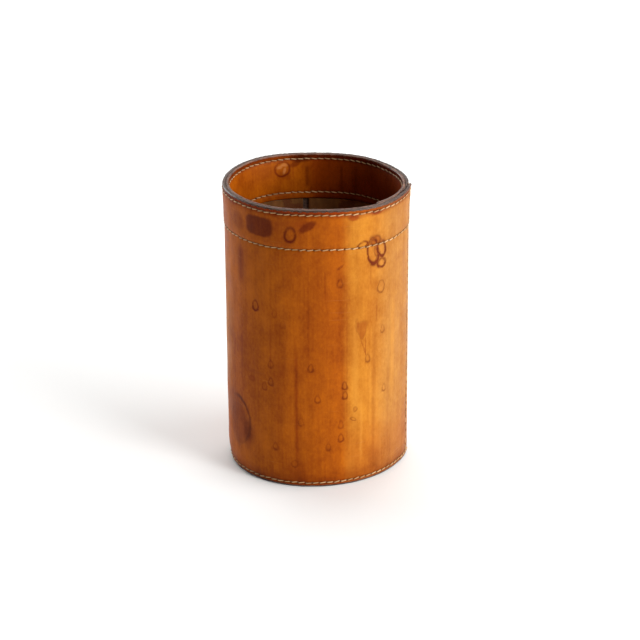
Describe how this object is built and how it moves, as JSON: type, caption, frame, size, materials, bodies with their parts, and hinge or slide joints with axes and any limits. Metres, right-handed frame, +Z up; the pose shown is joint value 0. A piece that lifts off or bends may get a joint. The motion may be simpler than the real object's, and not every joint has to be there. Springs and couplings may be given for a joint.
{
  "type": "dice cup",
  "caption": "Straight-sided leather dice cup with a lapped side seam, a stitched band lining the mouth and a stitched, recessed base.",
  "frame": {"origin": "centre of the foot, on the cup's axis, level with what it stands on", "axes": "+Z up along the cup's axis towards the mouth, -Y the front, +X towards the lapped side seam"},
  "size_m": [0.0889, 0.0884, 0.14],
  "materials": {
    "saddle_leather": "worn smooth saddle leather with a waxy gloss",
    "band_leather": "worn smooth saddle leather",
    "lining_suede": "matt suede",
    "sole_leather": "moulded sole leather, scuffed",
    "leatherboard": "matt pressed board",
    "floor_felt": "matt felt",
    "needle_thread": "waxed linen thread",
    "bobbin_thread": "waxed linen thread"
  },
  "bodies": {
    "root": {"outer_wall": "saddle_leather", "mouth_band": "band_leather", "wall_lining": "lining_suede", "base_dish": "sole_leather", "base_board": "leatherboard", "felt_disc": "floor_felt", "rim_needle_thread": "needle_thread", "rim_bobbin_thread": "bobbin_thread", "band_needle_thread": "needle_thread", "band_bobbin_thread": "bobbin_thread", "hem_needle_thread": "needle_thread", "hem_bobbin_thread": "bobbin_thread", "seam_needle_thread": "needle_thread", "seam_bobbin_thread": "bobbin_thread"}
  },
  "joints": []
}
